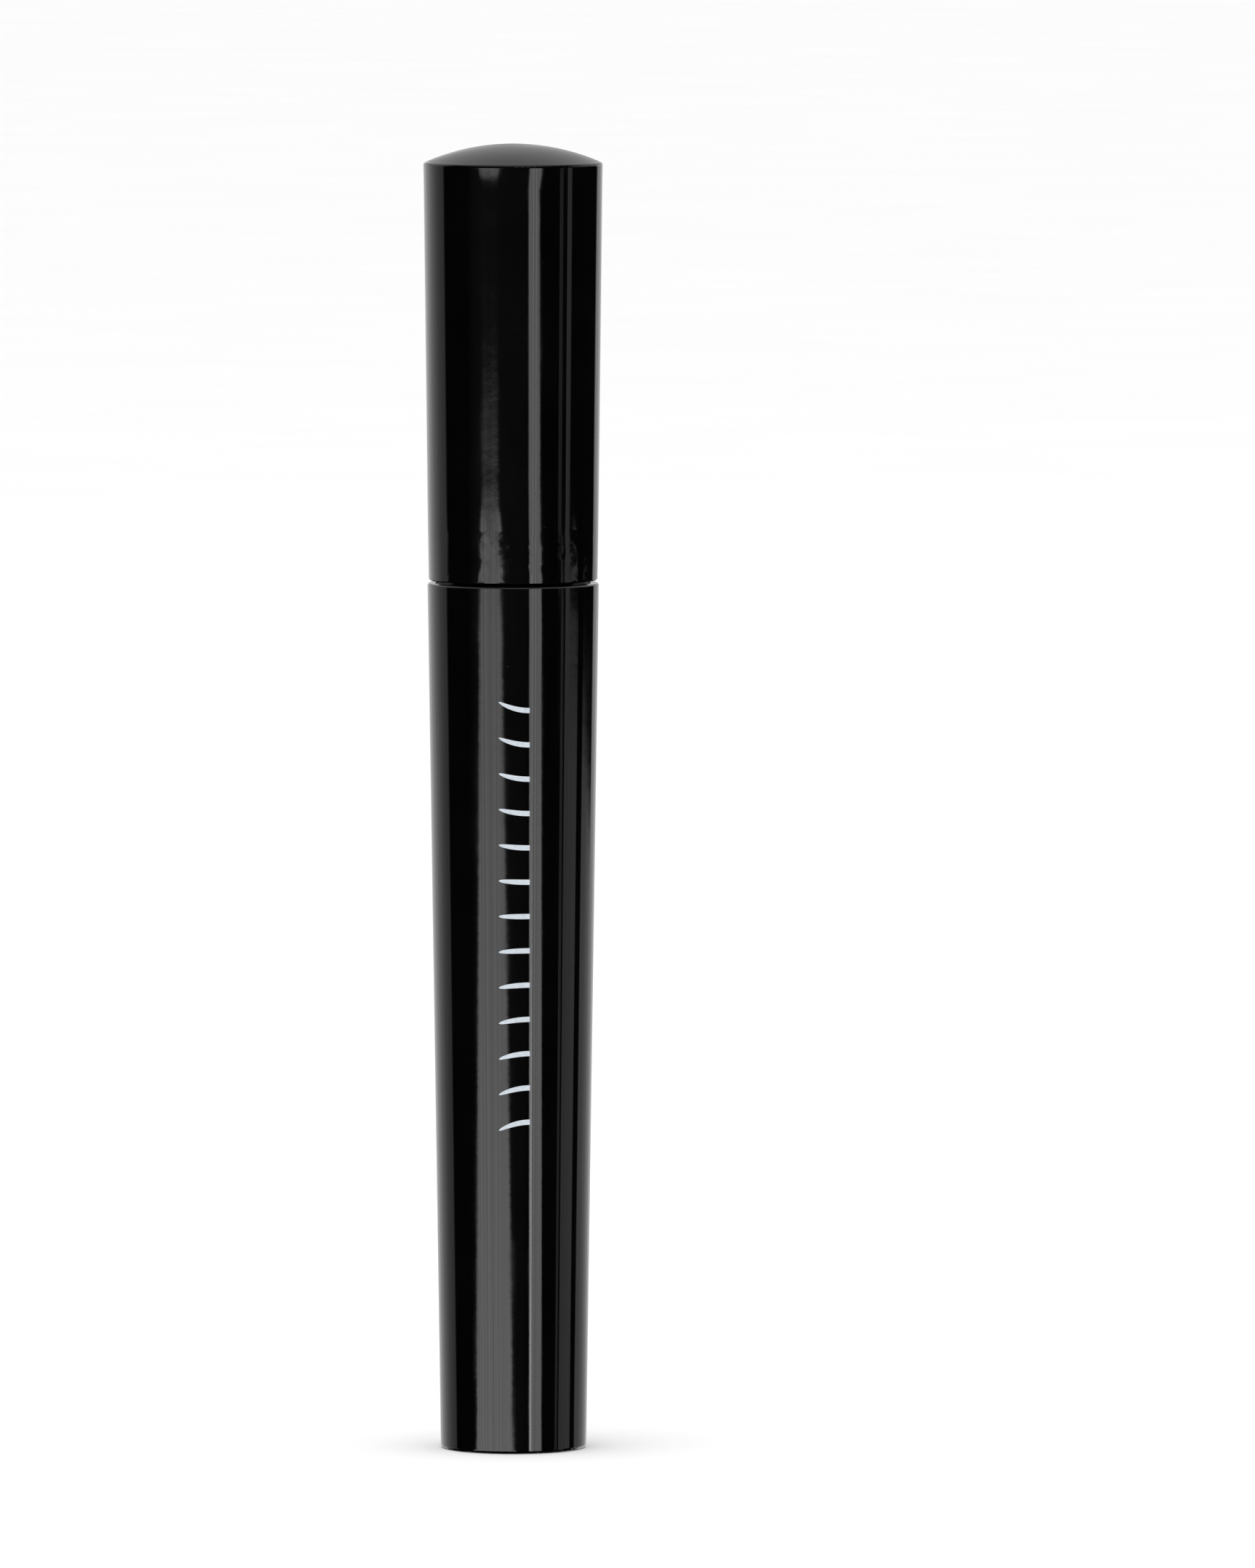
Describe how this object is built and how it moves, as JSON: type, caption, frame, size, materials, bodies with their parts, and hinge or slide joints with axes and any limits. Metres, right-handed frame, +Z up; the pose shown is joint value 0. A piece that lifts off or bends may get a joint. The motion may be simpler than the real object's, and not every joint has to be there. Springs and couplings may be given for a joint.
{
  "type": "mascara tube",
  "caption": "Slim tapered round mascara tube with a screw cap, whose stem carries a curved moulded brush that is drawn out through a wiper.",
  "frame": {"origin": "centre of the base, on the surface the tube stands on", "axes": "+Z up along the tube's axis, +X the side towards which the brush bows, -Y the front"},
  "size_m": [0.0178, 0.0178, 0.1303],
  "materials": {
    "gloss_black": "high-gloss moulded black",
    "natural_black": "as-moulded black",
    "satin_black": "satin moulded black",
    "wiper_rubber": "soft matte elastomer",
    "seal_rubber": "soft matte elastomer",
    "liner_foam": "pale closed-cell foam",
    "paste": "wet black paste",
    "brush_rubber": "moulded elastomer, coated with paste"
  },
  "bodies": {
    "tube": {"outer_sleeve": "gloss_black", "inner_bottle": "natural_black", "wiper": "wiper_rubber", "mascara_paste": "paste"},
    "seal": {"stem_seal": "seal_rubber"},
    "liner": {"cap_liner": "liner_foam"},
    "applicator": {"cap_shell": "gloss_black", "inner_cap": "natural_black", "stem": "satin_black", "brush_core": "brush_rubber", "bristles": "brush_rubber"}
  },
  "joints": [
    {"name": "wand_pull", "type": "slide", "parent": "tube", "child": "seal", "axis": [0, 0, 1], "range_m": [0, 0.105], "deforming": ["wiper", "bristles"]},
    {"name": "thread_rise", "type": "slide", "parent": "seal", "child": "liner", "axis": [0, 0, 1], "range_m": [0, 0.00301]},
    {"name": "cap_turn", "type": "hinge", "parent": "liner", "child": "applicator", "pos_m": [0, 0, 0.0868], "axis": [0, 0, 1], "range_deg": [0, 360]}
  ],
  "couplings": [
    {"joint": "thread_rise", "follows": "cap_turn", "m_per_rad": 0.00047746}
  ]
}
